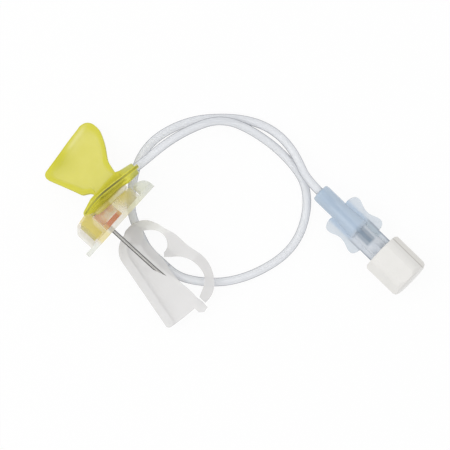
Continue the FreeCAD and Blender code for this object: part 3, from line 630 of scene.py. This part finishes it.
# The line's routes: control points in the order that the line runs, from the hub's socket, in millimetres
# from the needle's exit.
line = {
    "diameter": 2.4 * mm,
    "bore": 1.3 * mm,
    "step": 0.6 * mm,
    "around": 32,
    "pinchRings": 8,
    "hubToClamp": [
        (-7.94, 13.77, 12.3), (-6.84, 19.67, 12.3), (-6.1, 25.5, 11.8), (-4.9, 31.1, 9.9), (-2.8, 36.8, 7.1),
        (-0.3, 41.5, 5.0), (3.3, 44.6, 4.0), (7.4, 46.2, 2.9), (11.8, 47.2, 1.7), (17.6, 47.9, 1.2),
        (24.2, 47.6, 1.2), (29.6, 46.4, 1.2), (33.6, 43.7, 1.2), (36.9, 39.6, 1.2), (39.4, 34.2, 1.2),
        (40.1, 28.6, 1.2), (39.1, 22.9, 1.2), (36.8, 16.8, 1.5), (33.7, 11.7, 2.4), (30.2, 8.0, 2.9),
        (25.8, 4.7, 2.9), (21.3, 2.6, 2.9), (17.9, 2.6, 2.9),
    ],
    "pinch": [(17.9, 2.6, 2.9), (13.7, 2.6, 2.9)],
    "clampToLuer": [
        (13.7, 2.6, 2.9), (10.7, 2.6, 2.9), (6.8, 4.1, 2.9), (2.6, 5.8, 2.75), (-0.6, 7.9, 1.75),
        (-3.3, 11.0, 1.3), (-5.8, 14.6, 1.2), (-8.0, 19.0, 1.2), (-8.9, 23.6, 1.2), (-8.5, 28.4, 1.2),
        (-6.65, 33.8, 1.2), (-3.6, 39.0, 1.2), (0.7, 43.5, 1.2), (5.2, 47.2, 1.2), (10.2, 49.9, 1.2),
        (15.6, 51.1, 1.4), (20.8, 50.7, 2.3), (25.4, 49.3, 3.4), (30.0, 47.2, 3.75), (35.4, 47.0, 4.13),
    ],
}


# The middle of a cord, read from a smooth spline with the route's points as its control points.
def smoothMiddle(name, route):
    curve = bpy.data.curves.new(name, "CURVE")
    curve.dimensions = "3D"
    spline = curve.splines.new("NURBS")
    controls = np.array(route) * mm + needleExit
    spline.points.add(len(controls) - 1)
    spline.points.foreach_set("co", np.column_stack([controls, np.ones(len(controls))]).ravel())
    spline.order_u = 3
    spline.use_endpoint_u = True
    spline.resolution_u = 16
    carrier = bpy.data.objects.new(name, curve)
    scene.collection.objects.link(carrier)
    bpy.context.view_layer.update()
    drawn = bpy.data.meshes.new_from_object(carrier)
    middle = np.zeros(len(drawn.vertices) * 3)
    drawn.vertices.foreach_get("co", middle)
    bpy.data.objects.remove(carrier)
    bpy.data.meshes.remove(drawn)
    return evenly(middle.reshape(-1, 3), line["step"])


# The same path with its points an equal step apart.
def evenly(path, step):
    run = np.concatenate([[0.0], np.cumsum(np.linalg.norm(np.diff(path, axis=0), axis=1))])
    places = np.linspace(0, run[-1], int(run[-1] / step) + 1)
    return np.stack([np.interp(places, run, path[:, i]) for i in range(3)], axis=1)


def unit(vectors):
    return vectors / np.linalg.norm(vectors, axis=-1, keepdims=True)


# A hollow tube: rings of the outer radius run forward along the middle, rings of the bore run back, and the
# two are joined at both ends. A point of a ring is the middle plus the radius times the cosine of its angle
# sideways and the sine of it upward, with both ways square to the middle.
def hollowTube(name, middle, outer, bore, finish):
    around = line["around"]
    tangent = unit(np.gradient(middle, axis=0))
    side = unit(np.cross([0.0, 0.0, 1.0], tangent))
    up = np.cross(tangent, side)
    angle = np.linspace(0, 2 * np.pi, around, endpoint=False)
    ring = np.cos(angle)[None, :, None] * side[:, None, :] + np.sin(angle)[None, :, None] * up[:, None, :]
    wall = middle[:, None, :] + ring * outer / 2
    inside = middle[:, None, :] + ring * bore / 2
    piece = gridMesh(name, np.concatenate([wall, inside[::-1]]), finish, closeRows=True)
    addMask(piece, "bore", np.repeat([0.0, 1.0], len(middle) * around))
    return piece


def lengthOf(middle):
    return float(np.linalg.norm(np.diff(middle, axis=0), axis=1).sum())


hubMiddle = smoothMiddle("hubRoute", line["hubToClamp"])
luerMiddle = smoothMiddle("luerRoute", line["clampToLuer"])
pinchMiddle = np.linspace(*(np.array(line["pinch"]) * mm + needleExit), line["pinchRings"])

lineFromHub = hollowTube("lineFromHub", hubMiddle, line["diameter"], line["bore"], clear)
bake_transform(lineFromHub)
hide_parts("tube_from_hub", "tube_to_clamp")
linePinched = hollowTube("linePinched", pinchMiddle, line["diameter"], line["bore"], clear)
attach(linePinched, "base")
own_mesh(linePinched)
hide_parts("tube_pinch")
lineToLuer = hollowTube("lineToLuer", luerMiddle, line["diameter"], line["bore"], clear)
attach(lineToLuer, "base")
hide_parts("tube_to_luer")
print("line made", round(lengthOf(hubMiddle), 4), round(lengthOf(luerMiddle), 4))


# The thin bend that joins the clamp's arm to its body, above and below the line. Its outside runs from the
# knuckle to the arm's back, about the centre that the arm turns about.
bend = {
    "centre": (8.8, -1.3), "turn": 1.5, "inner": 2.3, "rounding": 0.35, "steps": 8, "cornerSteps": 4,
    "outside": [(-2.62, -0.9), (-2.72, 0.7), (-2.5, 2.4), (-1.6, 4.3), (-0.1, 5.85), (1.6, 6.6)],
    "layers": {"bendLow": (0.05, 1.45), "bendHigh": (4.45, 6.85)},
}


# A slab whose outside is a smooth curve, and whose inside is that curve drawn in to a circle about the
# centre. Its section is a box with its two outer edges rounded by quarter circles, and its rings are such
# sections.
def makeBend(name, low, high):
    outside = smoothCurve(bend["outside"], bend["steps"])
    inside = outside / np.linalg.norm(outside, axis=1, keepdims=True) * bend["inner"]
    r = bend["rounding"]
    width = np.linalg.norm(outside - inside, axis=1)[:, None]
    angle = np.linspace(0, np.pi / 2, bend["cornerSteps"])
    reach = np.concatenate([r * (np.sin(angle) - 1), r * (np.cos(angle) - 1)])
    level = np.concatenate([low + r * (1 - np.cos(angle)), high - r * (1 - np.sin(angle))])
    share = 1 + reach[None, :] / np.maximum(width, 2 * r)
    outerSide = inside[:, None, :] + share[..., None] * (outside - inside)[:, None, :]
    heights = np.broadcast_to(level, share.shape)
    inner = np.dstack([np.stack([inside, inside], axis=1), np.broadcast_to([high, low], (len(inside), 2))])
    section = np.concatenate([np.dstack([outerSide, heights]), inner], axis=1)
    turnBend = math.radians(bend["turn"])
    axisU = (math.cos(turnBend), math.sin(turnBend), 0)
    axisV = (-math.sin(turnBend), math.cos(turnBend), 0)
    points = placed(section, (*bend["centre"], 0), axisU, axisV)
    piece = gridMesh(name, points, finishes["clamp_body"])
    closeMiddles(piece, section.shape[1])
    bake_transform(piece)


for name, (low, high) in bend["layers"].items():
    makeBend(name, low, high)
print("clamp bend made")


# The camera looks straight down on the set. right is the way in which the photograph's right side lies.
shot = {"pixel": 0.28 * mm, "frame": 450, "origin": (113.5, 231.0), "right": (0.7396, 0.6730), "height": 0.6}


# The place on the table below a pixel of the photograph.
def belowPixel(px, py):
    dx = (px - shot["origin"][0]) * shot["pixel"]
    dy = (py - shot["origin"][1]) * shot["pixel"]
    right = shot["right"]
    return needleExit[0] + right[0] * dx + right[1] * dy, needleExit[1] + right[1] * dx - right[0] * dy


camera = bpy.data.objects.new("camera", bpy.data.cameras.new("camera"))
scene.collection.objects.link(camera)
camera.data.type = "ORTHO"
camera.data.ortho_scale = shot["frame"] * shot["pixel"]
camera.location = (*belowPixel(shot["frame"] / 2, shot["frame"] / 2), shot["height"])
camera.rotation_euler = (0, 0, math.atan2(shot["right"][1], shot["right"][0]))
camera.data.clip_start = 0.01
camera.data.clip_end = 10
scene.camera = camera

scene.view_settings.view_transform = "Standard"
scene.cycles.transparent_max_bounces = 32


# 1 for the rays that should see plain white: the camera's, mirrored ones and those through clear plastic.
def seenDirectly(look):
    seen = look.node("ShaderNodeLightPath", "Is Camera Ray")
    glossy = look.node("ShaderNodeLightPath", "Is Glossy Ray")
    through = look.node("ShaderNodeLightPath", "Is Transmission Ray")
    return seen.math("MAXIMUM", glossy).math("MAXIMUM", through)


# The table lies just under the set. Where it is seen directly, whiteShare of its look is plain white.
paper = {
    "reach": 1.5, "level": -0.2 * mm, "colour": (0.93, 0.93, 0.93), "roughness": 0.8, "whiteShare": 0.93,
}


def tableFinish():
    look = Finish("tableWhite")
    look.set(Base_Color=paper["colour"], Roughness=paper["roughness"])
    share = seenDirectly(look) * paper["whiteShare"]
    lit = Value(look.tree, look.shader.outputs[0])
    glow = look.node("ShaderNodeEmission", Color=(1, 1, 1), Strength=1.0)
    both = addNode(look.tree, "ShaderNodeMixShader", 0, {}, {0: share, 1: lit, 2: glow})
    connect(look.tree, look.tree.nodes["Material Output"].inputs["Surface"], both)
    return look.material


ends = (-paper["reach"], paper["reach"])
corners = [[(x, y, paper["level"]) for x in ends] for y in ends]
table = gridMesh("table", np.array(corners), tableFinish(), closeColumns=False)

# The sky lights the set more softly than the camera sees it.
skyStrength = {"light": 0.7, "seen": 1.0}
world = bpy.data.worlds.new("world")
world.use_nodes = True
scene.world = world
sky = world.node_tree
sky.nodes.remove(sky.nodes["Background"])
litSky, seenSky = (
    addNode(sky, "ShaderNodeBackground", 0, {}, {"Color": (1, 1, 1), "Strength": skyStrength[use]})
    for use in ("light", "seen")
)
cameraRay = addNode(sky, "ShaderNodeLightPath", "Is Camera Ray", {}, {})
bothSkies = addNode(sky, "ShaderNodeMixShader", 0, {}, {0: cameraRay, 1: litSky, 2: seenSky})
connect(sky, sky.nodes["World Output"].inputs["Surface"], bothSkies)

lamps = {
    "softbox": {"place": (-0.2, -0.22, 0.5), "size": 0.5, "power": 1.15},
    "fill": {"place": (0.1, 0.3, 0.5), "size": 0.4, "power": 0.35},
}
aim = Vector((0.03, 0.02, 0.0))
for name, lamp in lamps.items():
    light = bpy.data.lights.new(name, "AREA")
    light.size = lamp["size"]
    light.energy = lamp["power"]
    holder = bpy.data.objects.new(name, light)
    holder.location = lamp["place"]
    holder.rotation_euler = (aim - Vector(lamp["place"])).to_track_quat("-Z", "Y").to_euler()
    scene.collection.objects.link(holder)
print("stage set")
